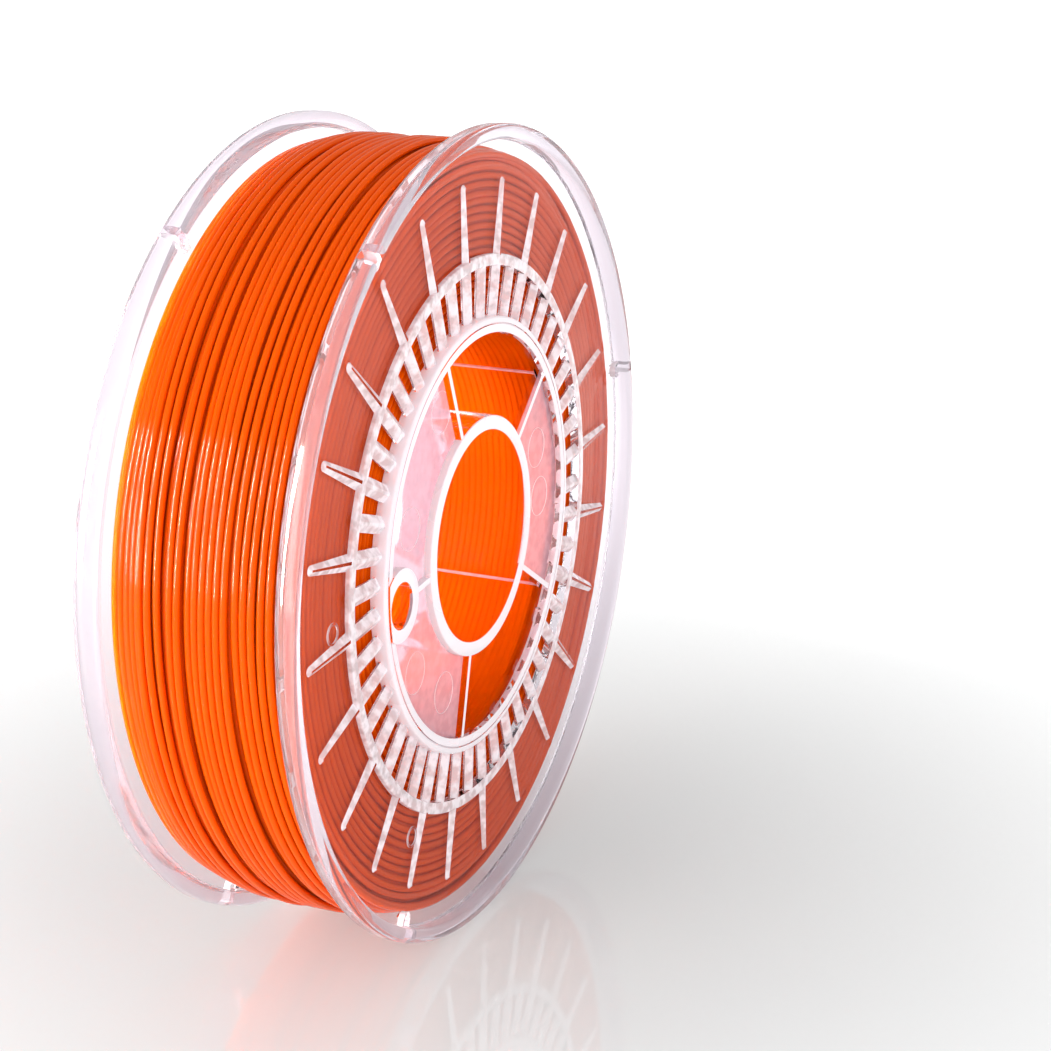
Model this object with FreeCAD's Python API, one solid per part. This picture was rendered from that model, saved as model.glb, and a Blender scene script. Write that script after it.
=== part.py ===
"""Clear filament spool, wound nearly full. Millimetres, spool axis along Y, front flange at -Y, +Z up.

The origin is the middle of the spool, on the bore axis. Two mirrored flange mouldings close the ends of a
clear drum, and one continuous filament is wound on the drum between them.
"""

import FreeCAD, Part
import math
import os

from FreeCAD import Vector

# Spool
RIM_R = 100.0  # outside of the rim beads
HALF_WIDTH = 27.3  # middle of the spool to the outer face of a rim bead
TURN = 3.2  # degrees that the ribs stand off the vertical as the spool rests

# Flange plate and rim bead; distances along the axis are from the middle of the spool
PLATE_IN = 21.9
PLATE_T = 1.3
PLATE_OUT = PLATE_IN + PLATE_T
BEAD_IN_R = 96.2
BEAD_ROUND_BACK = 2.2
BEAD_ROUND_FRONT = 1.5
BEAD_ROUND_INNER = 1.2

# Ribs on the outer face of the plate; each has sloping flanks and a narrow flat top
RIB_H = 1.2
RIB_TOP = PLATE_OUT + RIB_H
RIB_RING_IN_R = 66.0
RIB_RING_OUT_R = 68.9
RIB_RING_BEVEL = 0.5
SPIKES = 24
SPIKE_TIP_R = 87.2
SPIKE_ROOT_W = 4.1
SPIKE_ROOT_FLAT_W = 0.8
SPIKE_TIP_W = 2.4
SPIKE_TIP_FLAT_W = 0.5
SPIKE_TIP_H = 0.75

# Open windows between the rib ring and the hub collar
BARS = 48
BAR_W = 4.2
BAR_BACK = 22.7

# Hub collar, with the castellated ring that meets the end of the drum
HUB_FRONT = 25.7
MOUTH_R = 50.0
COLLAR_OUT_R = 53.9
DRUM_OUT_R = 52.0
COLLAR_GAP = 0.2
COLLAR_LIP = 1.3
TEETH = 20
TOOTH_DEG = 4.0
DRUM_END = 22.9
DRUM_RIB_W = 0.7
DRUM_RIB_H = 0.4
GROOVE_W = 0.4
GROOVE_DEPTH = 0.5

# Web between the bore tube and the collar
BORE_R = 26.25
TUBE_OUT_R = 29.75
SPOKES = 5
SPOKE_T = 1.4
SPOKE_FRONT = 25.4
SPOKE_BACK = 22.9
PANEL_FRONT = 23.8
PANEL_T = 0.9
BOSS_R = 46.0
BOSS_HOLE_R = 5.6
BOSS_OUT_R = 8.8
BOSS_FRONT = 26.0

# Slots beside the rim bead that park the filament's end, and moulding marks
CLIP_SLOT_W = 2.3
CLIP_SLOT_IN_R = 93.4
CLIP_SLOT_OUT_R = 98.7
CLIP_HOLE_OUT_R = 95.4
CLIP_WALL = 0.8
CLIP_H = 1.5
MARK_R = 75.0
MARK_OUT_R = 2.6
MARK_WALL = 0.5
MARK_H = 0.3

# Winding
FILAMENT_D = 1.75
WIND_HALF = 21.75
WIND_IN_R = DRUM_OUT_R + 0.15
CROWN_R = 96.6
CROWN_DROP = 0.0086  # fall of the winding's outside, per millimetre squared from its middle
OUTER_TURNS = 22
SIDE_TURNS = 20
INNER_TURNS = 24

SPIKE_0 = 90.0 + TURN
SPOKE_0 = 111.5
BOSS_DEG = SPOKE_0 + 360.0 / SPOKES
CLIP_DEGS = (124.2, 242.5, 12.0)
MARK_DEGS = (180.0, 240.0)

ORIGIN = Vector(0, 0, 0)
AXIS = Vector(0, 1, 0)


def around(shape, degrees):
    """A copy of a shape turned about the spool axis, from +X towards +Z."""
    copy = shape.copy()
    copy.rotate(ORIGIN, AXIS, -degrees)
    return copy


def disc(radius, near, far, x=0.0, z=0.0):
    """A cylinder on the front side, between two distances from the middle of the spool."""
    return Part.makeCylinder(radius, far - near, Vector(x, -far, z), AXIS)


def ring(r_in, r_out, near, far, x=0.0, z=0.0):
    return disc(r_out, near, far, x, z).cut(disc(r_in, near, far, x, z))


def block(r_in, r_out, width, near, far):
    """A radial block on +X, centred on the X axis."""
    return Part.makeBox(r_out - r_in, far - near, width, Vector(r_in, -far, -width / 2))


def polar(radius, degrees):
    angle = math.radians(degrees)
    return radius * math.cos(angle), radius * math.sin(angle)


def evenly(shape, count, start=0.0):
    return [around(shape, start + k * 360.0 / count) for k in range(count)]


def at_clips(shape):
    return [around(shape, degrees) for degrees in CLIP_DEGS]


def solids(shapes):
    """One compound of all the separate solids in a list of shapes."""
    found = []
    for shape in shapes:
        found.extend(shape.Solids)
    return Part.makeCompound(found)


def clip_slot(r_out, near, far, wall=0.0):
    """Radial slot on +X with a round inner end, or with a wall the outline of the rib round it."""
    half = CLIP_SLOT_W / 2 + wall
    centre = CLIP_SLOT_IN_R + CLIP_SLOT_W / 2
    return block(centre, r_out, 2 * half, near, far).fuse(disc(half, near, far, centre))


def rim_bead():
    """Rolled edge of the flange: a rounded section turned about the axis, notched at each slot."""
    q = math.sqrt(0.5)
    back, front, inner = BEAD_ROUND_BACK, BEAD_ROUND_FRONT, BEAD_ROUND_INNER

    def at(radius, along):
        return Vector(radius, -along, 0)

    a = at(BEAD_IN_R, PLATE_IN)
    b = at(RIM_R - back, PLATE_IN)
    b_mid = at(RIM_R - back + back * q, PLATE_IN + back - back * q)
    c = at(RIM_R, PLATE_IN + back)
    d = at(RIM_R, HALF_WIDTH - front)
    d_mid = at(RIM_R - front + front * q, HALF_WIDTH - front + front * q)
    e = at(RIM_R - front, HALF_WIDTH)
    f = at(BEAD_IN_R + inner, HALF_WIDTH)
    f_mid = at(BEAD_IN_R + inner - inner * q, HALF_WIDTH - inner + inner * q)
    g = at(BEAD_IN_R, HALF_WIDTH - inner)
    edges = [
        Part.LineSegment(a, b).toShape(),
        Part.Arc(b, b_mid, c).toShape(),
        Part.LineSegment(c, d).toShape(),
        Part.Arc(d, d_mid, e).toShape(),
        Part.LineSegment(e, f).toShape(),
        Part.Arc(f, f_mid, g).toShape(),
        Part.LineSegment(g, a).toShape(),
    ]
    bead = Part.Face(Part.Wire(edges)).revolve(ORIGIN, AXIS, 360)
    notch = clip_slot(CLIP_SLOT_OUT_R, PLATE_OUT, HALF_WIDTH + 1)
    return bead.cut(Part.makeCompound(at_clips(notch)))


def plate():
    """Thin flange plate from the rib ring out to the bead, with a hole at each filament slot."""
    shape = ring(RIB_RING_OUT_R, BEAD_IN_R, PLATE_IN, PLATE_OUT)
    hole = clip_slot(CLIP_HOLE_OUT_R, PLATE_IN, PLATE_OUT)
    return shape.cut(Part.makeCompound(at_clips(hole)))


def rib_ring():
    """Raised ring between the plate and the windows, bevelled along both top edges."""
    shape = ring(RIB_RING_IN_R, RIB_RING_OUT_R, PLATE_IN, RIB_TOP)
    top_edges = [e for e in shape.Edges if len(e.Vertexes) == 1 and e.BoundBox.YMax < -PLATE_OUT]
    return shape.makeChamfer(RIB_RING_BEVEL, top_edges)


def ridge_wire(radius, width, flat, height):
    """Section across a rib at one radius: wide on the plate, narrow and flat on top."""
    low, high = -PLATE_OUT, -PLATE_OUT - height
    corners = [
        Vector(radius, low, -width / 2),
        Vector(radius, low, width / 2),
        Vector(radius, high, flat / 2),
        Vector(radius, high, -flat / 2),
    ]
    return Part.makePolygon(corners + corners[:1])


def spike(rib):
    """Tapered rib from the rib ring towards the rim, with a round tip."""
    tip_centre = SPIKE_TIP_R - SPIKE_TIP_W / 2
    root = ridge_wire(RIB_RING_IN_R, SPIKE_ROOT_W, SPIKE_ROOT_FLAT_W, RIB_H)
    end = ridge_wire(tip_centre, SPIKE_TIP_W, SPIKE_TIP_FLAT_W, SPIKE_TIP_H)
    body = Part.makeLoft([root, end], True, True)
    at = Vector(tip_centre, -PLATE_OUT, 0)
    tip = Part.makeCone(SPIKE_TIP_W / 2, SPIKE_TIP_FLAT_W / 2, SPIKE_TIP_H, at, -AXIS)
    inside = disc(RIB_RING_IN_R + 1, PLATE_IN, RIB_TOP)
    return body.fuse(tip).removeSplitter().cut(rib).cut(inside)


def window_bar():
    """One of the bars between the windows, with the same ridge on its outer face as a spike."""
    span = ring(COLLAR_OUT_R, RIB_RING_IN_R, PLATE_IN, RIB_TOP)
    base = block(MOUTH_R, RIB_RING_OUT_R, BAR_W, BAR_BACK, PLATE_OUT)
    wires = [ridge_wire(r, BAR_W, SPIKE_ROOT_FLAT_W, RIB_H) for r in (MOUTH_R, RIB_RING_OUT_R)]
    ridge = Part.makeLoft(wires, True, True)
    return base.fuse(ridge).removeSplitter().common(span)


def boss_tools():
    """The drive hole's cylinder and the boss's outside, through the whole hub."""
    x, z = polar(BOSS_R, BOSS_DEG)
    hole = disc(BOSS_HOLE_R, 0, RIM_R, x, z)
    outside = disc(BOSS_OUT_R, 0, RIM_R, x, z)
    return hole, outside


def hub_collar(boss_outside):
    """Raised collar round the mouth of the hub: a skirt outside the drum, and a lip over the teeth."""
    lip_back = HUB_FRONT - COLLAR_LIP
    skirt_in_r = DRUM_OUT_R + COLLAR_GAP
    shape = ring(skirt_in_r, COLLAR_OUT_R, PLATE_IN, HUB_FRONT)
    shape = shape.fuse(ring(MOUTH_R, COLLAR_OUT_R, lip_back, HUB_FRONT)).removeSplitter()
    groove = ring(DRUM_OUT_R, DRUM_OUT_R + GROOVE_W, HUB_FRONT - GROOVE_DEPTH, HUB_FRONT)
    opening = boss_outside.common(disc(COLLAR_OUT_R + 1, lip_back, HUB_FRONT))
    return shape.cut(groove).cut(opening)


def hub_teeth(boss_outside):
    """Castellations between the collar's lip and the end of the drum."""
    lip_back = HUB_FRONT - COLLAR_LIP
    arc = ring(MOUTH_R, DRUM_OUT_R, DRUM_END, lip_back)
    width = math.radians(TOOTH_DEG) * MOUTH_R
    tooth = block(MOUTH_R - 1, DRUM_OUT_R + 1, width, DRUM_END, lip_back).common(arc)
    half_pitch = 180.0 / TEETH
    return solids(t.cut(boss_outside) for t in evenly(tooth, TEETH, SPOKE_0 + half_pitch))


def drive_boss(hole, outside):
    """Round boss on one spoke, cut off where it reaches the collar and the drum."""
    lip_back = HUB_FRONT - COLLAR_LIP
    front = outside.common(disc(COLLAR_OUT_R, lip_back, BOSS_FRONT))
    back = outside.common(disc(DRUM_OUT_R, DRUM_END, lip_back))
    return front.fuse(back).removeSplitter().cut(hole)


def hub_spokes(boss_outside):
    """Radial webs from the bore tube to the inside of the drum and collar."""
    span = ring(TUBE_OUT_R, MOUTH_R, SPOKE_BACK, SPOKE_FRONT)
    web = block(BORE_R, DRUM_OUT_R, SPOKE_T, SPOKE_BACK, SPOKE_FRONT).common(span)
    clear_of_boss = boss_outside.common(disc(RIM_R, 0, BOSS_FRONT))
    return solids(w.cut(clear_of_boss) for w in evenly(web, SPOKES, SPOKE_0))


def sector(r_in, r_out, near, far, start, sweep):
    """Part of a ring, from one angle through another."""
    outer = Part.makeCylinder(r_out, far - near, Vector(0, -far, 0), AXIS, sweep)
    inner = Part.makeCylinder(r_in, far - near, Vector(0, -far, 0), AXIS, 360)
    piece = outer.cut(inner).Solids[0]
    middle = math.degrees(math.atan2(piece.CenterOfMass.z, piece.CenterOfMass.x))
    return around(piece, start + sweep / 2 - middle)


def hub_panels(spokes, boss_outside):
    """Flat panels that close three of the five spaces between the spokes."""
    pitch = 360.0 / SPOKES
    found = []
    for first in (SPOKE_0, SPOKE_0 + pitch, SPOKE_0 - 2 * pitch):
        panel = sector(TUBE_OUT_R, MOUTH_R, PANEL_FRONT - PANEL_T, PANEL_FRONT, first, pitch)
        found.append(panel.cut(spokes).cut(boss_outside))
    return solids(found)


def bore_tube():
    """This flange's half of the tube that the holder's spindle passes through."""
    return ring(BORE_R, TUBE_OUT_R, 0, HUB_FRONT)


def filament_clips():
    """U-shaped rib round each slot, open towards the notch in the bead."""
    far = PLATE_OUT + CLIP_H
    outline = clip_slot(CLIP_SLOT_OUT_R, PLATE_OUT, far, CLIP_WALL)
    slot = clip_slot(CLIP_SLOT_OUT_R, PLATE_OUT, far)
    rib = outline.cut(slot).common(disc(BEAD_IN_R, PLATE_OUT, far))
    return solids(at_clips(rib))


def gate_marks():
    found = []
    for degrees in MARK_DEGS:
        x, z = polar(MARK_R, degrees)
        found.append(ring(MARK_OUT_R - MARK_WALL, MARK_OUT_R, PLATE_OUT, PLATE_OUT + MARK_H, x, z))
    return solids(found)


def drum():
    """Barrel under the winding, with a low rib along its inside in line with each spoke."""
    barrel = ring(MOUTH_R, DRUM_OUT_R, -DRUM_END, DRUM_END)
    rib = block(MOUTH_R - DRUM_RIB_H, MOUTH_R + 0.5, DRUM_RIB_W, -DRUM_END, DRUM_END)
    return barrel.fuse(evenly(rib, SPOKES, SPOKE_0)).removeSplitter()


def crown(along):
    return CROWN_R - CROWN_DROP * along * along


def bumps(path, count, away, height):
    """Row of round bumps along a path given by its share from 0 to 1, one for each strand shown."""
    edges = []
    points = [path(k / count) for k in range(count + 1)]
    for here, there in zip(points[:-1], points[1:]):
        top = (here + there) * 0.5 + away * height
        edges.append(Part.Arc(here, top, there).toShape())
    return edges


def straight(start, end):
    return lambda share: start + (end - start) * share


def winding():
    """The wound filament as one turned solid, whose section has a bump for every strand that shows."""
    bump = 0.38
    valley_half = WIND_HALF - bump
    inside = WIND_IN_R + bump

    def outside(share):
        along = valley_half - 2 * valley_half * share
        return Vector(crown(along) - bump, along, 0)

    front_out, front_in = outside(1.0), Vector(inside, -valley_half, 0)
    back_out, back_in = outside(0.0), Vector(inside, valley_half, 0)
    edges = bumps(outside, OUTER_TURNS, Vector(1, 0, 0), bump)
    edges += bumps(straight(front_out, front_in), SIDE_TURNS, Vector(0, -1, 0), bump)
    edges += bumps(straight(front_in, back_in), INNER_TURNS, Vector(-1, 0, 0), bump)
    edges += bumps(straight(back_in, back_out), SIDE_TURNS, Vector(0, 1, 0), bump)
    return Part.Face(Part.Wire(edges)).revolve(ORIGIN, AXIS, 360)


def flange():
    """Every sub-part of the front flange moulding, by name."""
    hole, outside = boss_tools()
    spokes = hub_spokes(outside)
    rib = rib_ring()
    return {
        "flange_plate": plate(),
        "rim_bead": rim_bead(),
        "rib_ring": rib,
        "spike_ribs": solids(evenly(spike(rib), SPIKES, SPIKE_0)),
        "window_bars": solids(evenly(window_bar(), BARS, SPIKE_0)),
        "hub_collar": hub_collar(outside),
        "collar_teeth": hub_teeth(outside),
        "hub_spokes": spokes,
        "hub_panels": hub_panels(spokes, outside),
        "bore_tube": bore_tube(),
        "drive_boss": drive_boss(hole, outside),
        "filament_clips": filament_clips(),
        "gate_marks": gate_marks(),
    }


def write(name, shape):
    if not shape.isValid():
        raise ValueError(name + " is not a valid shape")
    shape.exportStep("parts/" + name + ".step")
    box = shape.BoundBox
    print("%-24s %3d solids %9.1f mm3  %.1f x %.1f x %.1f" % (
        name, len(shape.Solids), shape.Volume, box.XLength, box.YLength, box.ZLength))


def main():
    os.makedirs("parts", exist_ok=True)
    for name, shape in flange().items():
        write("front_" + name, shape)
        write("rear_" + name, shape.mirror(ORIGIN, AXIS))
    write("drum", drum())
    write("filament_winding", winding())


main()
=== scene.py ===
"""Clear filament spool wound with glossy orange filament, on a pale studio floor.

Sizes, profiles and outlines are in millimetres, as in the CAD, and meshes, lamps and camera in metres. The
spool's axis is Y, its front flange faces -Y, and Z is up. Angles round the spool run from +X towards +Z.
"""

import math

import bmesh
import bpy
import numpy as np
from mathutils import Matrix, Vector


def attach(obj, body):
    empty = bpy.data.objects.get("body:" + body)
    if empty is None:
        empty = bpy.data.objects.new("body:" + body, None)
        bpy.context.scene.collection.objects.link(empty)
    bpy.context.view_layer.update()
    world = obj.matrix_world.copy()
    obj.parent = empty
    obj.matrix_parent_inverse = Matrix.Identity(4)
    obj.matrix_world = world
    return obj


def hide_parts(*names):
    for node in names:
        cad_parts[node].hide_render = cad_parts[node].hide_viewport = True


MM = 0.001
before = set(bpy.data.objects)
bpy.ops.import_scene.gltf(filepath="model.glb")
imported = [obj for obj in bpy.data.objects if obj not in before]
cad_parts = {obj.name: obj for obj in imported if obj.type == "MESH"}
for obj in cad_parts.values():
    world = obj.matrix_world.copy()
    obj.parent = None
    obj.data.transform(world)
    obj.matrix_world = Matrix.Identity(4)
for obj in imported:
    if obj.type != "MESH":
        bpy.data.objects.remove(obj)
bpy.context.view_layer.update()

scene = bpy.context.scene


# ---------------------------------------------------------------- sizes, as in the CAD

RIM_R = 100.0
HALF_WIDTH = 27.3
PLATE_IN = 21.9
PLATE_OUT = 23.2
BEAD_IN_R = 96.2
RIB_H = 1.2
RIB_TOP = PLATE_OUT + RIB_H
RIB_RING_IN_R, RIB_RING_OUT_R = 66.0, 68.9
SPIKES = 24
SPIKE_TIP_R = 87.2
BARS = 48
BAR_W = 4.2
BAR_BACK = 22.7
HUB_FRONT = 25.7
MOUTH_R = 50.0
COLLAR_OUT_R = 53.9
DRUM_OUT_R = 52.0
LIP_BACK = HUB_FRONT - 1.3
TEETH = 20
TOOTH_DEG = 4.0
DRUM_END = 22.9
DRUM_RIB_W, DRUM_RIB_H = 0.7, 0.4
BORE_R, TUBE_OUT_R = 26.25, 29.75
SPOKE_T = 1.4
SPOKE_FRONT, SPOKE_BACK = 25.4, 22.9
PANEL_FRONT, PANEL_T = 23.8, 0.9
BOSS_R, BOSS_HOLE_R, BOSS_OUT_R, BOSS_FRONT = 46.0, 5.6, 8.8, 26.0
CLIP_SLOT_W, CLIP_SLOT_IN_R, CLIP_SLOT_OUT_R, CLIP_HOLE_OUT_R = 2.3, 93.4, 98.7, 95.4
MARK_R, MARK_OUT_R, MARK_WALL, MARK_H = 75.0, 2.6, 0.5, 0.3
SPIKE_0 = 93.2
SPOKE_0 = 111.5
SPOKES = 5
SPOKE_PITCH = 360.0 / SPOKES
CLIP_DEGS = (124.2, 242.5, 12.0)
MARK_DEGS = (180.0, 240.0)
PIN_MARKS = ((38.9, 161.0), (42.4, 213.6), (41.0, 118.5), (39.5, 240.0), (39.5, 358.0), (39.5, 18.0))
PIN_MARK_R = 5.3
STRAND_R = 0.875
WIND_HALF = 21.75
WIND_IN_R = DRUM_OUT_R + 0.15
CROWN_R, CROWN_DROP = 96.6, 0.0086

ROUND = 320  # steps round a full circle of a moulding

OVERLAP = 0.8  # mm by which webs and panels reach into the tube and the collar
BAR_OVERLAP = 0.9  # mm by which window bars reach into the collar and the rib ring
SINK = 0.4  # mm by which a rib on the plate starts below its face
DRUM_GAP = 0.06  # mm between the front collar's teeth and the end of the drum
MOUTH_OVERLAP = 0.3  # mm by which teeth and boss reach into the collar's lip and the drum


# ---------------------------------------------------------------- mesh helpers

def new_object(name, verts, faces):
    mesh = bpy.data.meshes.new(name)
    mesh.from_pydata([tuple(v) for v in verts], [], faces)
    mesh.update()
    obj = bpy.data.objects.new(name, mesh)
    scene.collection.objects.link(obj)
    return obj


def front(profile):
    """A profile of (radius, distance from the middle) in mm, as (radius, y) in metres on the front side."""
    return [(r * MM, -along * MM) for r, along in profile]


def lathe(name, profile, steps=ROUND, start=0.0, sweep=360.0):
    """Closed solid from a closed profile of (radius, y), turned about Y."""
    full = abs(sweep - 360.0) < 1e-6
    count = steps if full else steps + 1
    n = len(profile)
    verts, faces = [], []
    for k in range(count):
        a = math.radians(start + sweep * k / steps)
        c, s = math.cos(a), math.sin(a)
        verts += [(r * c, y, r * s) for r, y in profile]
    for k in range(steps):
        here, there = k * n, ((k + 1) % count) * n
        for j in range(n):
            i = (j + 1) % n
            faces.append((here + j, here + i, there + i, there + j))
    if not full:
        faces.append(tuple(reversed(range(n))))
        faces.append(tuple(range(steps * n, steps * n + n)))
    obj = new_object(name, verts, faces)
    fix_normals(obj)
    return obj


def fix_normals(obj):
    bm = bmesh.new()
    bm.from_mesh(obj.data)
    bmesh.ops.recalc_face_normals(bm, faces=bm.faces)
    bm.to_mesh(obj.data)
    bm.free()


def prism(name, outline, near, far):
    """Solid from an outline in the XZ plane in mm, between two distances from the middle."""
    n = len(outline)
    verts = [(x * MM, -near * MM, z * MM) for x, z in outline]
    verts += [(x * MM, -far * MM, z * MM) for x, z in outline]
    faces = [tuple(range(n)), tuple(reversed(range(n, 2 * n)))]
    faces += [(j, j + n, (j + 1) % n + n, (j + 1) % n) for j in range(n)]
    obj = new_object(name, verts, faces)
    fix_normals(obj)
    return obj


def circle(radius, steps, x=0.0, z=0.0, first=0.0, sweep=360.0, closed=True):
    count = steps if closed else steps + 1
    points = []
    for k in range(count):
        a = math.radians(first + sweep * k / steps)
        points.append((x + radius * math.cos(a), z + radius * math.sin(a)))
    return points


def turned(obj, degrees, name):
    """A copy turned about the spool's axis, from +X towards +Z."""
    copy = obj.copy()
    copy.data = obj.data.copy()
    copy.name = name
    turn_mesh(copy, degrees)
    scene.collection.objects.link(copy)
    return copy


def join(name, objs):
    """One mesh object out of several, without merging anything."""
    bm = bmesh.new()
    for obj in objs:
        bm.from_mesh(obj.data)
    mesh = bpy.data.meshes.new(name)
    bm.to_mesh(mesh)
    bm.free()
    result = bpy.data.objects.new(name, mesh)
    scene.collection.objects.link(result)
    for obj in objs:
        bpy.data.objects.remove(obj)
    return result


def boolean(obj, other, operation):
    """Unites obj with other, cuts other out of it or keeps what they share; other is used up."""
    mod = obj.modifiers.new("cut", "BOOLEAN")
    mod.operation = operation
    mod.solver = "MANIFOLD"
    mod.object = other
    deps = bpy.context.evaluated_depsgraph_get()
    mesh = bpy.data.meshes.new_from_object(obj.evaluated_get(deps))
    obj.modifiers.clear()
    old = obj.data
    obj.data = mesh
    bpy.data.meshes.remove(old)
    bpy.data.objects.remove(other)


def turn_mesh(obj, degrees):
    """Turns the mesh itself about the spool's axis, from +X towards +Z."""
    obj.data.transform(Matrix.Rotation(-math.radians(degrees), 4, "Y"))


def polar(radius, degrees):
    a = math.radians(degrees)
    return radius * math.cos(a), radius * math.sin(a)


def smooth(obj, degrees=28.0):
    obj.data.shade_smooth()
    obj.data.set_sharp_from_angle(angle=math.radians(degrees))


# ---------------------------------------------------------------- clear mouldings

def corner(centre, radius, first, last, steps=5):
    """Points of a fillet round a centre, in the profile's own plane."""
    points = []
    for k in range(steps + 1):
        a = math.radians(first + (last - first) * k / steps)
        points.append((centre[0] + radius * math.cos(a), centre[1] + radius * math.sin(a)))
    return points


def flange_profile():
    """Rib ring, plate and bead in one section, with the small radii of a moulding."""
    back, nose, inner, root, edge = 2.2, 1.5, 1.2, 0.5, 0.4
    profile = [(RIB_RING_IN_R, PLATE_IN), (RIM_R - back - 1.5, PLATE_IN)]
    profile += corner((RIM_R - back, PLATE_IN + back), back, -90, 0, 8)
    profile += corner((RIM_R - nose, HALF_WIDTH - nose), nose, 0, 90, 8)
    profile += corner((BEAD_IN_R + inner, HALF_WIDTH - inner), inner, 90, 180, 6)
    profile += corner((BEAD_IN_R - root, PLATE_OUT + root), root, 0, -90, 4)
    profile += [(RIB_RING_OUT_R, PLATE_OUT)]
    profile += corner((RIB_RING_OUT_R - edge, RIB_TOP - edge), edge, 0, 90, 3)
    profile += corner((RIB_RING_IN_R + edge, RIB_TOP - edge), edge, 90, 180, 3)
    return profile


def collar_profile():
    """Skirt and lip of the hub collar, with the groove in its face."""
    skirt = DRUM_OUT_R + 0.2
    edge, mouth_edge, groove_w, groove_deep = 0.6, 0.25, 0.4, 0.5
    profile = [(skirt, PLATE_IN), (COLLAR_OUT_R, PLATE_IN)]
    profile += corner((COLLAR_OUT_R - edge, HUB_FRONT - edge), edge, 0, 90, 4)
    profile += [(DRUM_OUT_R + groove_w, HUB_FRONT), (DRUM_OUT_R + groove_w, HUB_FRONT - groove_deep)]
    profile += [(DRUM_OUT_R, HUB_FRONT - groove_deep), (DRUM_OUT_R, HUB_FRONT)]
    profile += corner((MOUTH_R + mouth_edge, HUB_FRONT - mouth_edge), mouth_edge, 90, 180, 3)
    profile += [(MOUTH_R, LIP_BACK), (skirt, LIP_BACK)]
    return profile


def tube_profile(back):
    """Bore tube from some distance behind the middle to its rounded front edge."""
    edge = 0.35
    profile = [(BORE_R, back), (TUBE_OUT_R, back)]
    profile += corner((TUBE_OUT_R - edge, HUB_FRONT - edge), edge, 0, 90, 3)
    profile += corner((BORE_R + edge, HUB_FRONT - edge), edge, 90, 180, 3)
    return profile


def ridge(name, sections):
    """Rib with a trapezoid section at each (radius, width, flat width, foot, height)."""
    verts, faces = [], []
    for r, wide, flat, foot, high in sections:
        for along, half in ((foot, wide / 2), (PLATE_OUT, wide / 2), (PLATE_OUT + high, flat / 2)):
            verts += [(r * MM, -along * MM, -half * MM), (r * MM, -along * MM, half * MM)]
    order = (0, 1, 3, 5, 4, 2)
    count = len(sections)
    for k in range(count - 1):
        for j in range(6):
            a, b = order[j], order[(j + 1) % 6]
            faces.append((k * 6 + a, k * 6 + b, k * 6 + 6 + b, k * 6 + 6 + a))
    faces.append(tuple(order))
    faces.append(tuple((count - 1) * 6 + j for j in reversed(order)))
    obj = new_object(name, verts, faces)
    fix_normals(obj)
    return obj


def spike():
    """Tapered rib with a round, sloping tip."""
    tip_steps, tip_sweep = 8, 88.0
    wide, flat, high = 2.4, 0.5, 0.75
    root_wide, root_flat = 4.1, 0.8
    centre = SPIKE_TIP_R - wide / 2
    first = RIB_RING_OUT_R - 1.2
    foot = PLATE_OUT - SINK
    sections = [(first, root_wide, root_flat, foot, RIB_H), (centre, wide, flat, foot, high)]
    for k in range(1, tip_steps + 1):
        a = math.radians(tip_sweep * k / tip_steps)
        r = centre + wide / 2 * math.sin(a)
        w = max(wide * math.cos(a), 0.05)
        lift = high * min(1.0, 1.35 * (1 - math.sin(a)) + 0.05)
        sections.append((r, w, min(flat, w * 0.6), foot, lift))
    return ridge("spike", sections)


def clip_outline(r_out, wall=0.0):
    """Outline of a clip's U, open towards the rim, in the XZ plane."""
    half = CLIP_SLOT_W / 2 + wall
    centre = CLIP_SLOT_IN_R + CLIP_SLOT_W / 2
    return [(r_out, half)] + circle(half, 14, centre, 0.0, 90, 180, closed=False) + [(r_out, -half)]


def box_outline(low, high, wide):
    """Radial strip from one radius to another, in the XZ plane."""
    half = wide / 2
    return [(low, -half), (high, -half), (high, half), (low, half)]


def band(in_r, out_r, back, far):
    """Profile of a plain ring."""
    return [(in_r, back), (out_r, back), (out_r, far), (in_r, far)]


def flange_and_ribs():
    """Plate, bead, rib ring, collar, window bars and spike ribs."""
    base = lathe("outer", front(flange_profile()))
    boolean(base, lathe("collar", front(collar_profile())), "UNION")
    bar_top = 0.8
    bar = ridge("bar", [
        (COLLAR_OUT_R - BAR_OVERLAP, BAR_W, bar_top, BAR_BACK, RIB_H),
        (RIB_RING_IN_R + BAR_OVERLAP, BAR_W, bar_top, BAR_BACK, RIB_H)])
    bars = [turned(bar, SPIKE_0 + k * 360.0 / BARS, "bar") for k in range(BARS)]
    boolean(base, join("bars", bars), "UNION")
    one = spike()
    spikes = [turned(one, SPIKE_0 + k * 360.0 / SPIKES, "spike") for k in range(SPIKES)]
    boolean(base, join("spikes", spikes), "UNION")
    for scrap in (bar, one):
        bpy.data.objects.remove(scrap)
    return base


def add_teeth(base, tooth_back):
    """Castellated ring between the collar's lip and the drum."""
    profile = band(MOUTH_R, DRUM_OUT_R, tooth_back, LIP_BACK + MOUTH_OVERLAP)
    teeth = []
    for k in range(TEETH):
        middle = SPOKE_0 + (k + 0.5) * 360.0 / TEETH
        teeth.append(lathe("tooth", front(profile), 6, middle - TOOTH_DEG / 2, TOOTH_DEG))
    boolean(base, join("teeth", teeth), "UNION")


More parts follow.
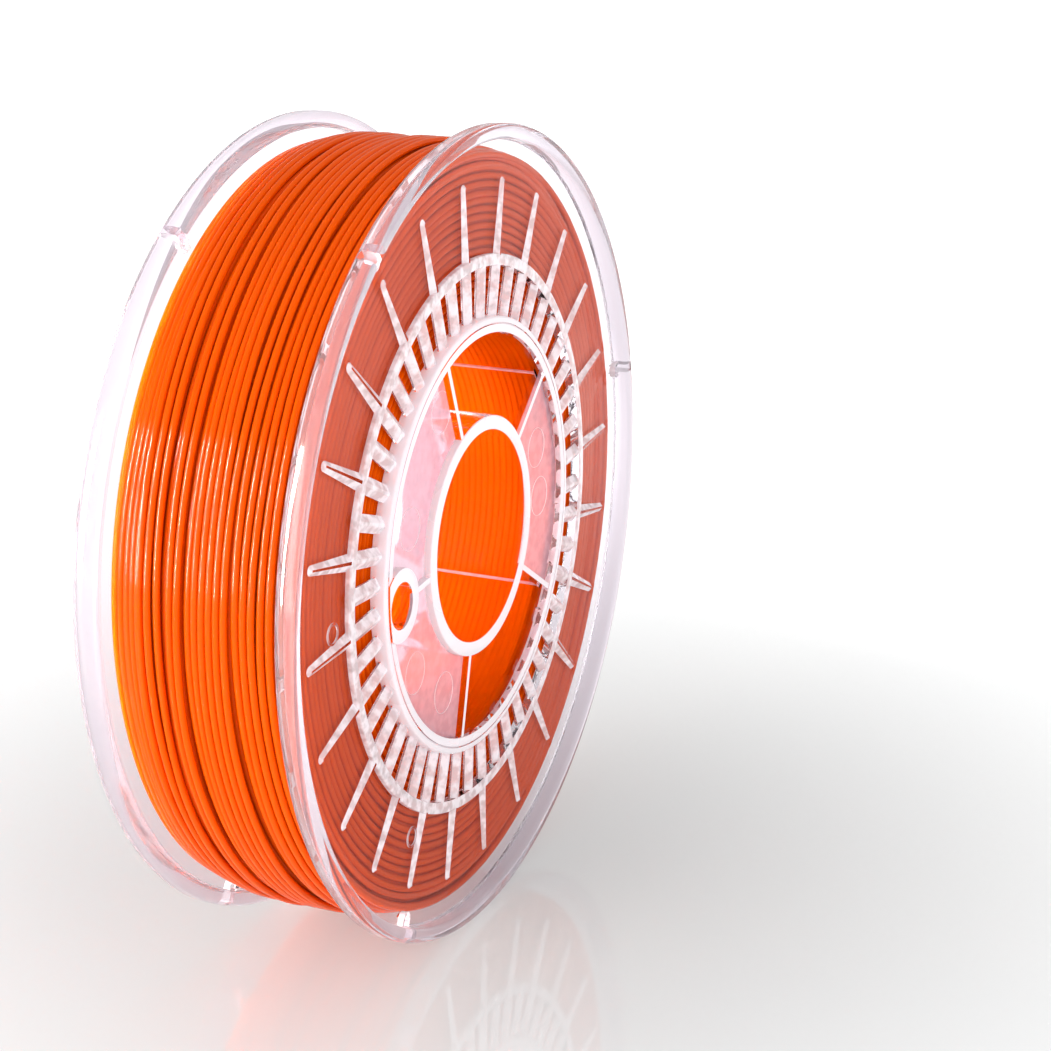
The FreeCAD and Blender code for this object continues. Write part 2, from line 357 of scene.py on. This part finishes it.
def add_drum(base):
    """Barrel under the winding, with a low rib along its inside in line with each spoke."""
    rib_end = DRUM_END - 0.02
    barrel = lathe("drum", front(band(MOUTH_R, DRUM_OUT_R, -DRUM_END, DRUM_END)))
    for k in range(SPOKES):
        outline = box_outline(MOUTH_R - DRUM_RIB_H, MOUTH_R + 0.5, DRUM_RIB_W)
        rib = prism("rib", outline, -rib_end, rib_end)
        turn_mesh(rib, SPOKE_0 + k * SPOKE_PITCH)
        boolean(barrel, rib, "UNION")
    boolean(base, barrel, "UNION")


def add_spokes_and_panels(base):
    low, high = TUBE_OUT_R - OVERLAP, MOUTH_R + OVERLAP
    for k in range(SPOKES):
        web = prism("web", box_outline(low, high, SPOKE_T), SPOKE_BACK, SPOKE_FRONT)
        turn_mesh(web, SPOKE_0 + k * SPOKE_PITCH)
        boolean(base, web, "UNION")
    for first, sweep in ((SPOKE_0, 2 * SPOKE_PITCH), (SPOKE_0 - 2 * SPOKE_PITCH, SPOKE_PITCH)):
        sheet = band(low, high, PANEL_FRONT - PANEL_T, PANEL_FRONT)
        boolean(base, lathe("panel", front(sheet), 72, first, sweep), "UNION")


def add_boss(base, boss_back):
    """Round boss on the second spoke, cut off at the drum's outside, with its through hole."""
    x, z = polar(BOSS_R, SPOKE_0 + SPOKE_PITCH)
    boss = prism("boss", circle(BOSS_OUT_R, 72, x, z), boss_back, BOSS_FRONT)
    limit = prism("limit", circle(DRUM_OUT_R, 256), 0, BOSS_FRONT + 2)
    boolean(boss, limit, "INTERSECT")
    boolean(base, boss, "UNION")
    boolean(base, prism("hole", circle(BOSS_HOLE_R, 56, x, z), 12, BOSS_FRONT + 3), "DIFFERENCE")


def add_clips(base):
    """Notched slots in the bead, each with a U-shaped rib, and a hole through the plate below."""
    wall, rib_h = 0.8, 1.5
    for degrees in CLIP_DEGS:
        for name, outline, near, far, operation in (
                ("rib", clip_outline(BEAD_IN_R + 0.8, wall), PLATE_OUT - SINK, PLATE_OUT + rib_h, "UNION"),
                ("slot", clip_outline(CLIP_SLOT_OUT_R), PLATE_OUT, HALF_WIDTH + 2, "DIFFERENCE"),
                ("hole", clip_outline(CLIP_HOLE_OUT_R), PLATE_IN - 2, PLATE_OUT + 0.5, "DIFFERENCE")):
            tool = prism(name, outline, near, far)
            turn_mesh(tool, degrees)
            boolean(base, tool, operation)


def add_marks(base):
    """Raised gate rings on the plate and the thin rings that ejector pins leave on the panels."""
    for degrees in MARK_DEGS:
        x, z = polar(MARK_R, degrees)
        outer = prism("mark", circle(MARK_OUT_R, 32, x, z), PLATE_OUT - 0.3, PLATE_OUT + MARK_H)
        inner = prism("mark", circle(MARK_OUT_R - MARK_WALL, 28, x, z), PLATE_OUT - 1, PLATE_OUT + 1)
        boolean(outer, inner, "DIFFERENCE")
        boolean(base, outer, "UNION")
    line_w, line_h, line_sink = 0.3, 0.12, 0.2
    for r, degrees in PIN_MARKS:
        x, z = polar(r, degrees)
        pin = [(PIN_MARK_R - line_w, PANEL_FRONT - line_sink), (PIN_MARK_R, PANEL_FRONT - line_sink),
               (PIN_MARK_R - line_w / 2, PANEL_FRONT + line_h)]
        mark = lathe("pin_mark", front(pin), 48)
        mark.data.transform(Matrix.Translation((x * MM, 0, z * MM)))
        boolean(base, mark, "UNION")


def moulding(name, tube_back, drum):
    """One flange moulding as a single closed piece. The drum belongs to the rear one."""
    base = flange_and_ribs()
    boolean(base, lathe("tube", front(tube_profile(tube_back))), "UNION")
    back = DRUM_END - MOUTH_OVERLAP if drum else DRUM_END + DRUM_GAP
    add_teeth(base, back)
    if drum:
        add_drum(base)
    add_spokes_and_panels(base)
    add_boss(base, back)
    add_clips(base)
    add_marks(base)
    base.name = name
    base.data.name = name
    return base


def flip(obj):
    """Mirrors a front moulding to the rear side."""
    obj.data.transform(Matrix.Scale(-1, 4, Vector((0, 1, 0))))
    obj.data.flip_normals()


# ---------------------------------------------------------------- wound filament

rng = np.random.default_rng(1735)


def wander(count, period, size):
    """Smooth random line: about one swing each period samples, of that typical size."""
    knots = max(4, int(round(count / period)))
    values = rng.normal(0.0, 1.0, knots + 1)
    at = np.linspace(0.0, knots, count, endpoint=False)
    low = np.floor(at).astype(int)
    f = at - low
    f = f * f * (3 - 2 * f)
    return size * (values[low] * (1 - f) + values[low + 1] * f)


def crown(y):
    """Radius of the winding's outside in mm, at a distance from the middle."""
    return CROWN_R - CROWN_DROP * y * y


STEPS = 150  # points in each turn of a strand
CELL = 0.125  # mm between the samples of the winding's surface across its width


def lay_strands():
    """Winds the last layers turn by turn on what already lies there.

    The guide feeds the strand across the width and back, unevenly. The strand rests on the ones below it,
    slides a little towards the nearest valley between them, and is too taut to follow a sudden dip.
    """
    base_depth = 7.9  # mm below the crown
    pitch, layers, hidden = 2.0, 4.03, 1.05
    slide = 0.05  # mm sideways from one point to the next
    fall = 0.02  # mm inwards from one point to the next
    proud = 0.35  # mm that a strand may stand above the crown
    look = 3  # cells to either side that the strand may slide to
    to_guide, to_last = 0.4, 0.9  # how strongly the guide and the strand's own stiffness hold it
    across = np.arange(-WIND_HALF, WIND_HALF + CELL / 2, CELL)
    reach = int(round(STRAND_R / CELL))
    offsets = np.arange(-reach, reach + 1) * CELL
    cap = np.sqrt(np.maximum(STRAND_R ** 2 - offsets ** 2, 0.0))
    end = WIND_HALF - STRAND_R - 0.02
    surface = np.tile(crown(across) - base_depth, (STEPS, 1))
    turns = int(2 * end / pitch * layers)
    total = turns * STEPS
    phase = np.mod(np.arange(total) / STEPS * pitch + 0.4, 4 * end)
    unevenness = wander(total, STEPS * 0.5, 0.4) + wander(total, STEPS * 2.0, 0.9)
    guide = np.where(phase < 2 * end, phase - end, 3 * end - phase) + unevenness
    guide = np.clip(guide, -end, end)
    y_now = guide[0]
    ys, rs = np.empty(total), np.empty(total)
    first, last = reach, len(across) - 1 - reach
    for i in range(total):
        row = surface[i % STEPS]
        middle = int(round((y_now - across[0]) / CELL))
        best_cost = None
        for c in range(max(middle - look, first), min(middle + look, last) + 1):
            high = (row[c - reach:c + reach + 1] + cap).max()
            y = across[c]
            cost = high + to_guide * (y - guide[i]) ** 2 + to_last * (y - y_now) ** 2
            if best_cost is None or cost < best_cost:
                best, best_cost = c, cost
        y_now = float(np.clip(y_now + np.clip(across[best] - y_now, -slide, slide), -end, end))
        c = min(max(int(round((y_now - across[0]) / CELL)), first), last)
        high = (row[c - reach:c + reach + 1] + cap).max()
        high = min(high, crown(y_now) - STRAND_R + proud)
        if i:
            high = max(high, rs[i - 1] - fall)
        ys[i], rs[i] = y_now, high
        window = slice(c - reach, c + reach + 1)
        row[window] = np.maximum(row[window], high + cap)
    for _ in range(3):
        rs = np.maximum(rs, running_mean(rs, 9))
    rs = np.minimum(running_mean(rs, 7), CROWN_R - STRAND_R - 0.02)
    angles = 2 * math.pi * np.arange(total) / STEPS
    shown = int(hidden / layers * turns) * STEPS
    return angles[shown:], rs[shown:], running_mean(ys, 9)[shown:]


def running_mean(values, width):
    """Mean over an odd number of neighbours, with the ends held."""
    return np.convolve(np.pad(values, width // 2, "edge"), np.ones(width) / width, "valid")


def tube_mesh(name, path, sides=9):
    """Round strand along (angles, radii, ys) in mm, with a cap at each end and its length as a UV map."""
    angles, rs, ys = path
    uv_per_mm = 0.01
    n = len(angles)
    around = 2 * math.pi * np.arange(sides) / sides
    rr = rs[:, None] + STRAND_R * np.cos(around)
    yy = ys[:, None] + STRAND_R * np.sin(around)
    grid = np.stack([rr * np.cos(angles)[:, None], yy, rr * np.sin(angles)[:, None]], 2) * MM
    steps = np.hypot(np.diff(ys), rs[1:] * np.abs(np.diff(angles)))
    length = np.concatenate([[0.0], np.cumsum(steps)]) * uv_per_mm
    here = (np.arange(n - 1) * sides)[:, None]
    k = np.arange(sides)[None, :]
    j = (k + 1) % sides
    quads = np.stack([here + k, here + j, here + sides + j, here + sides + k], 2).reshape(-1, 4)
    if angles[1] > angles[0]:
        quads = quads[:, ::-1]
    u = np.stack([length[:-1], length[:-1], length[1:], length[1:]], 1)[:, None, :].repeat(sides, 1)
    v = np.stack([k[0], k[0] + 1, k[0] + 1, k[0]], 1)[None, :, :].repeat(n - 1, 0) / sides
    if angles[1] > angles[0]:
        u, v = u[:, :, ::-1], v[:, :, ::-1]
    faces = quads.tolist()
    caps = [list(range(sides)), list(range((n - 1) * sides, n * sides))]
    caps[0 if angles[1] < angles[0] else 1].reverse()
    mesh = bpy.data.meshes.new(name)
    mesh.from_pydata(grid.reshape(-1, 3).tolist(), [], faces + caps)
    layer = mesh.uv_layers.new(name="strand")
    uv = np.concatenate([np.stack([u, v], 3).reshape(-1, 2), np.zeros((2 * sides, 2))])
    layer.data.foreach_set("uv", uv.astype(np.float32).ravel())
    mesh.update()
    obj = bpy.data.objects.new(name, mesh)
    scene.collection.objects.link(obj)
    mesh.shade_smooth()
    return obj


def side_run(sign):
    """The strand ends of every layer as they lie against one flange: a spiral that steps outwards."""
    pitch = 2.02
    climb_share, dip_at, dip_w, dip_depth = 0.2, 0.9, 0.08, 0.5
    first, last = WIND_IN_R + STRAND_R + 0.1, crown(WIND_HALF) - STRAND_R - 0.1
    total = int((last - first) / pitch * STEPS)
    turn = np.arange(total) / STEPS
    whole = np.floor(turn)
    f = turn - whole
    climb = np.clip((f - (1 - climb_share)) / climb_share, 0, 1)
    climb = climb * climb * (3 - 2 * climb)
    rs = first + pitch * (whole + climb)
    rs = rs + wander(total, STEPS * 0.35, 0.11) + wander(total, STEPS * 1.7, 0.12)
    sink = np.abs(wander(total, STEPS * 0.45, 0.16))
    dip = dip_depth * np.exp(-((f - dip_at) / dip_w) ** 2)
    ys = sign * (WIND_HALF - STRAND_R - 0.03 - sink - dip)
    start = math.radians(-62.0 if sign < 0 else 40.0)
    return start - 2 * math.pi * turn, np.minimum(rs, last + 0.25), ys


def inner_run():
    """First layer, tight on the drum."""
    end = WIND_HALF - STRAND_R - 0.05
    pitch = 1.765
    total = int(2 * end / pitch * STEPS)
    turn = np.arange(total) / STEPS
    ys = -end + pitch * turn + wander(total, STEPS * 0.6, 0.02)
    rs = np.full(total, WIND_IN_R + STRAND_R + 0.02) + np.abs(wander(total, STEPS * 0.4, 0.02))
    return 2 * math.pi * turn, rs, np.clip(ys, -end, end)


def core():
    """Body of the winding behind the strands that show."""
    inside = WIND_IN_R + 0.3
    half = WIND_HALF - 1.5
    depth, spans = 3.5, 24
    profile = [(inside, -half)]
    for k in range(spans + 1):
        y = half * (-1 + 2 * k / spans)
        profile.append((crown(y) - depth, y))
    profile.append((inside, half))
    return lathe("winding_core", [(r * MM, y * MM) for r, y in profile], 128)


# ---------------------------------------------------------------- materials

ORANGES = (0.80, 0.088, 0.0), (0.86, 0.098, 0.0)
LAVENDER = (0.8, 0.74, 0.81)


def node_material(name):
    """An empty node material with its output."""
    mat = bpy.data.materials.new(name)
    mat.use_nodes = True
    nt = mat.node_tree
    nt.nodes.clear()
    out = nt.nodes.new("ShaderNodeOutputMaterial")
    return mat, nt, out


def link(nt, a, b):
    nt.links.new(a, b)


def noise(nt, vector, scale, detail=2.0):
    node = nt.nodes.new("ShaderNodeTexNoise")
    node.inputs["Scale"].default_value = scale
    node.inputs["Detail"].default_value = detail
    link(nt, vector, node.inputs["Vector"])
    return node.outputs["Fac"]


def map_range(nt, value, to_low, to_high, low=0.0, high=1.0):
    node = nt.nodes.new("ShaderNodeMapRange")
    for key, number in (("From Min", low), ("From Max", high), ("To Min", to_low), ("To Max", to_high)):
        node.inputs[key].default_value = number
    link(nt, value, node.inputs["Value"])
    return node


def bump(nt, height, strength, distance, bsdf):
    """Roughens the shader's normal; distance is in metres."""
    node = nt.nodes.new("ShaderNodeBump")
    node.inputs["Strength"].default_value = strength
    node.inputs["Distance"].default_value = distance
    link(nt, height, node.inputs["Height"])
    link(nt, node.outputs["Normal"], bsdf.inputs["Normal"])


def stretched(nt, vector, scale):
    node = nt.nodes.new("ShaderNodeMapping")
    node.inputs["Scale"].default_value = scale
    link(nt, vector, node.inputs["Vector"])
    return node.outputs["Vector"]


def filament_material(name, gloss):
    """Glossy orange, with slow changes along the strand and fine lines from the extruder's die."""
    mat, nt, out = node_material(name)
    bsdf = nt.nodes.new("ShaderNodeBsdfPrincipled")
    bsdf.inputs["IOR"].default_value = 1.46
    bsdf.inputs["Specular IOR Level"].default_value = gloss
    uv = nt.nodes.new("ShaderNodeUVMap")
    uv.uv_map = "strand"
    slow = noise(nt, stretched(nt, uv.outputs["UV"], (2.0, 14.0, 1.0)), 1.0, 3.0)
    ramp = nt.nodes.new("ShaderNodeValToRGB")
    for element, place, colour in zip(ramp.color_ramp.elements, (0.3, 0.7), ORANGES):
        element.position = place
        element.color = (*colour, 1)
    link(nt, slow, ramp.inputs["Fac"])
    link(nt, ramp.outputs["Color"], bsdf.inputs["Base Color"])
    link(nt, map_range(nt, slow, 0.07, 0.11).outputs["Result"], bsdf.inputs["Roughness"])
    die_lines = noise(nt, stretched(nt, uv.outputs["UV"], (6.0, 60.0, 1.0)), 1.0)
    bump(nt, die_lines, 0.05, 0.00002, bsdf)
    link(nt, bsdf.outputs["BSDF"], out.inputs["Surface"])
    return mat


def clear_plastic(name, clear, ior, rough, colour, shadow, painted_glow=0.0):
    """Clear plastic. clear is how much passes straight through, from and to, where it is cloudy or marbled.

    Light from lamps reaches what is behind it: shadow is the share that gets through. A last, optional
    amount is painted light: emission in the plastic's own colour, though it is no lamp.
    """
    mat, nt, out = node_material(name)
    bsdf = nt.nodes.new("ShaderNodeBsdfPrincipled")
    bsdf.inputs["Base Color"].default_value = (*colour, 1)
    bsdf.inputs["Emission Color"].default_value = (*colour, 1)
    bsdf.inputs["Emission Strength"].default_value = painted_glow
    bsdf.inputs["IOR"].default_value = ior
    coord = nt.nodes.new("ShaderNodeTexCoord").outputs["Object"]
    swirl = noise(nt, coord, 26.0)
    ripple = nt.nodes.new("ShaderNodeMath")
    ripple.operation = "MULTIPLY_ADD"
    ripple.inputs[1].default_value = 0.06
    link(nt, noise(nt, coord, 520.0), ripple.inputs[0])
    link(nt, swirl, ripple.inputs[2])
    bump(nt, ripple.outputs["Value"], 0.2, 0.0006, bsdf)
    grain = map_range(nt, swirl, rough * 0.7, rough * 1.5)
    link(nt, grain.outputs["Result"], bsdf.inputs["Roughness"])
    if clear[0] == clear[1]:
        bsdf.inputs["Transmission Weight"].default_value = clear[0]
    else:
        marble = map_range(nt, noise(nt, coord, 330.0), clear[0], clear[1], 0.4, 0.6)
        link(nt, marble.outputs["Result"], bsdf.inputs["Transmission Weight"])
    path = nt.nodes.new("ShaderNodeLightPath")
    see = nt.nodes.new("ShaderNodeBsdfTransparent")
    see.inputs["Color"].default_value = (shadow, shadow * 0.97, shadow, 1)
    mixer = nt.nodes.new("ShaderNodeMixShader")
    link(nt, path.outputs["Is Shadow Ray"], mixer.inputs["Fac"])
    link(nt, bsdf.outputs["BSDF"], mixer.inputs[1])
    link(nt, see.outputs["BSDF"], mixer.inputs[2])
    link(nt, mixer.outputs["Shader"], out.inputs["Surface"])
    return mat


SHEET, BEAD, RIBS, HUB, EDGE, PANEL = range(6)


def surface_kind(r, along, lowest, outward):
    """Finish of a face, from its radius, distance from the middle, lowest corner and slope.

    outward is 1 where the face looks straight away from the middle, and 0 on a wall.
    """
    near = 0.05
    bead_from = BEAD_IN_R - 0.3
    if r > bead_from:
        return BEAD
    if r > COLLAR_OUT_R + near:
        if r < RIB_RING_OUT_R - near:
            return RIBS if outward > 0.3 else SHEET
        return RIBS if along > PLATE_OUT + 0.02 and -0.3 < outward < 0.95 else SHEET
    # Front faces and walls of the hub get the cloudy edge finish, whose white is partly painted light.
    if outward > 0.35 and along > HUB_FRONT - 0.9:
        return EDGE
    if r > MOUTH_R and along > PLATE_IN - 0.1:
        return EDGE if r > COLLAR_OUT_R - 0.1 else HUB
    if outward > 0.9 and PANEL_FRONT - 0.1 < along < PANEL_FRONT + 0.1:
        return PANEL
    if MOUTH_R - DRUM_RIB_H - near < r < MOUTH_R - near and along < 20:
        return PANEL
    if TUBE_OUT_R - 0.1 < r < MOUTH_R - 0.3 and lowest > PANEL_FRONT - near:
        return EDGE
    return HUB


def paint_moulding(obj):
    """Polished sheet, bead and hub; marbled ribs; and cloudy cut edges. The white of ribs and edges is
    partly the plastic's haze and partly painted light in place of what their faces reflect and pipe, and
    both carry a faint emission that is painted light.
    """
    obj.data.materials.clear()
    for mat in clear_set:
        obj.data.materials.append(mat)
    verts = obj.data.vertices
    for face in obj.data.polygons:
        c = face.center
        outward = face.normal.y * (1 if c.y > 0 else -1)
        lowest = min(abs(verts[i].co.y) for i in face.vertices) / MM
        face.material_index = surface_kind(math.hypot(c.x, c.z) / MM, abs(c.y) / MM, lowest, outward)


FLOOR_Z = -0.1001
# Painted shade and light on the floor: each fade sets the floor's emission, dim near the spool and bright
# in a pool to its right.
PAINTED_FLOOR_FADES = (  # x and y of the middle, distance from and to in metres, and the strength at each
    ((0.03, -0.02), 0.0, 0.32, 0.31, 0.82),
    ((0.0, 0.0), 0.35, 1.2, 0.0, 0.2),
    ((0.5, -0.1), 0.3, 0.05, 0.0, 0.7),
)


def floor_material():
    """Pale glossy sheet with painted light in its emission: painted shade round the spool, brighter away
    from it, and a painted pool of light to its right.
    """
    mat, nt, out = node_material("pale_floor_painted_light")
    bsdf = nt.nodes.new("ShaderNodeBsdfPrincipled")
    bsdf.inputs["Base Color"].default_value = (0.35, 0.36, 0.36, 1)
    bsdf.inputs["Roughness"].default_value = 0.04
    bsdf.inputs["Specular IOR Level"].default_value = 1.0
    bsdf.inputs["Emission Color"].default_value = (1, 1, 1, 1)
    coord = nt.nodes.new("ShaderNodeTexCoord")
    painted_glow = None
    for (x, y), start, end, at_start, at_end in PAINTED_FLOOR_FADES:
        away = nt.nodes.new("ShaderNodeVectorMath")
        away.operation = "SUBTRACT"
        away.inputs[1].default_value = (x, y, FLOOR_Z)
        link(nt, coord.outputs["Object"], away.inputs[0])
        length = nt.nodes.new("ShaderNodeVectorMath")
        length.operation = "LENGTH"
        link(nt, away.outputs["Vector"], length.inputs[0])
        fade = map_range(nt, length.outputs["Value"], at_start, at_end, start, end)
        fade.interpolation_type = "SMOOTHSTEP"
        if painted_glow is None:
            painted_glow = fade.outputs["Result"]
            continue
        total = nt.nodes.new("ShaderNodeMath")
        link(nt, painted_glow, total.inputs[0])
        link(nt, fade.outputs["Result"], total.inputs[1])
        painted_glow = total.outputs["Value"]
    # The summed fades drive the floor's emission: painted shade near the spool, painted light away from it.
    link(nt, painted_glow, bsdf.inputs["Emission Strength"])
    link(nt, bsdf.outputs["BSDF"], out.inputs["Surface"])
    return mat


# ---------------------------------------------------------------- the spool

orange = filament_material("orange_filament", 0.1)
pressed = filament_material("orange_filament_against_plastic", 0.02)
clear_set = [
    clear_plastic("clear_sheet", (1.0, 1.0), 1.12, 0.03, (0.93, 0.87, 0.91), 0.35),
    clear_plastic("clear_bead", (0.88, 0.88), 1.27, 0.05, LAVENDER, 0.35),
    # Ribs and edges: cloudy white, partly painted light, with a small emission (the last number) that is
    # painted light.
    clear_plastic("clear_ribs_painted_glow", (0.15, 0.5), 1.35, 0.1, (0.98, 0.93, 0.98), 0.4, 0.05),
    clear_plastic("clear_hub", (1.0, 1.0), 1.04, 0.03, (0.98, 0.94, 0.96), 0.3),
    clear_plastic("clear_edges_painted_glow", (0.1, 0.1), 1.4, 0.25, (0.93, 0.87, 0.92), 0.4, 0.06),
    clear_plastic("clear_panel", (0.45, 0.55), 1.12, 0.08, (0.93, 0.63, 0.73), 0.4),
]

front_mould = moulding("front_moulding_clear", 0.1, drum=False)
rear_mould = moulding("rear_moulding_clear", -0.04, drum=True)
flip(rear_mould)

outer_strand = tube_mesh("filament_outer_layers", lay_strands())
front_side = tube_mesh("filament_front_ends", side_run(-1))
rear_side = tube_mesh("filament_rear_ends", side_run(1))
first_layer = tube_mesh("filament_first_layer", inner_run())
body = core()
smooth(body)

FRONT_NODES = [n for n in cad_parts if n.startswith("front_")]
REAR_NODES = [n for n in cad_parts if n.startswith("rear_")] + ["drum"]
for piece, nodes in ((front_mould, FRONT_NODES), (rear_mould, REAR_NODES)):
    smooth(piece)
    paint_moulding(piece)
    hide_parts(*nodes)
    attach(piece, "root")
for piece in (outer_strand, front_side, rear_side, first_layer, body):
    piece.data.materials.clear()
    piece.data.materials.append(orange if piece == outer_strand else pressed)
    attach(piece, "root")
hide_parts("filament_winding")


# ---------------------------------------------------------------- studio

def area(name, place, target, size_x, size_y, power, colour=(1, 1, 1)):
    """Rectangular lamp at a place, turned to a target; sizes in metres, power in watts."""
    data = bpy.data.lights.new(name, "AREA")
    data.shape = "RECTANGLE"
    data.size, data.size_y = size_x, size_y
    data.energy = power
    data.color = colour
    lamp = bpy.data.objects.new(name, data)
    lamp.location = place
    aim = Vector(target) - Vector(place)
    lamp.rotation_euler = aim.to_track_quat("-Z", "Y").to_euler()
    scene.collection.objects.link(lamp)
    return lamp


def round_spool(azimuth, height, distance):
    """A place round the spool: azimuth from +Y towards +X, in degrees."""
    a = math.radians(azimuth)
    return (distance * math.sin(a), distance * math.cos(a), height)


FLOOR_HALF = 9
corners = [(x * FLOOR_HALF, y * FLOOR_HALF, FLOOR_Z) for x, y in ((-1, -1), (1, -1), (1, 1), (-1, 1))]
floor = new_object("floor", corners, [(0, 1, 2, 3)])
floor.data.materials.append(floor_material())

strip = area("strip", round_spool(-59, 0.26, 1.25), (0, 0, 0.02), 0.14, 0.95, 210, (1, 0.93, 0.8))
strip.visible_diffuse = False
strip.visible_transmission = False
side = area("side", round_spool(-66, 0.6, 1.4), (0, 0, 0), 1.1, 1.1, 8)
side.visible_glossy = False
key = area("front", (-0.7, -1.3, 0.7), (0, 0, 0), 1.1, 1.1, 7)
key.visible_glossy = False

world = bpy.data.worlds.new("studio")
scene.world = world
world.use_nodes = True
wt = world.node_tree
background = wt.nodes["Background"]
background.inputs["Color"].default_value = (1, 1, 1, 1)
ray = wt.nodes.new("ShaderNodeLightPath")
strength = None
for kind, less in (("Is Diffuse Ray", -0.3), ("Is Glossy Ray", -0.45)):
    step = wt.nodes.new("ShaderNodeMath")
    step.operation = "MULTIPLY_ADD"
    step.inputs[1].default_value = less
    step.inputs[2].default_value = 1.0
    link(wt, ray.outputs[kind], step.inputs[0])
    if strength is not None:
        link(wt, strength, step.inputs[2])
    strength = step.outputs["Value"]
link(wt, strength, background.inputs["Strength"])

CAMERA_UP, CAMERA_TURN = 18.18, 66.79  # degrees above the level, and from +Y towards +X
camera_data = bpy.data.cameras.new("camera")
camera_data.lens = 82.976
camera_data.sensor_width = 36
camera_data.clip_start = 0.01
camera = bpy.data.objects.new("camera", camera_data)
camera.location = (-0.512857, -0.256868, 0.187402)
camera.rotation_euler = (math.radians(90 - CAMERA_UP), 0, math.radians(-CAMERA_TURN))
scene.collection.objects.link(camera)
scene.camera = camera

scene.view_settings.view_transform = "Standard"
scene.cycles.max_bounces = 24
scene.cycles.transmission_bounces = 20
scene.cycles.transparent_max_bounces = 48
scene.cycles.glossy_bounces = 8
scene.cycles.diffuse_bounces = 4
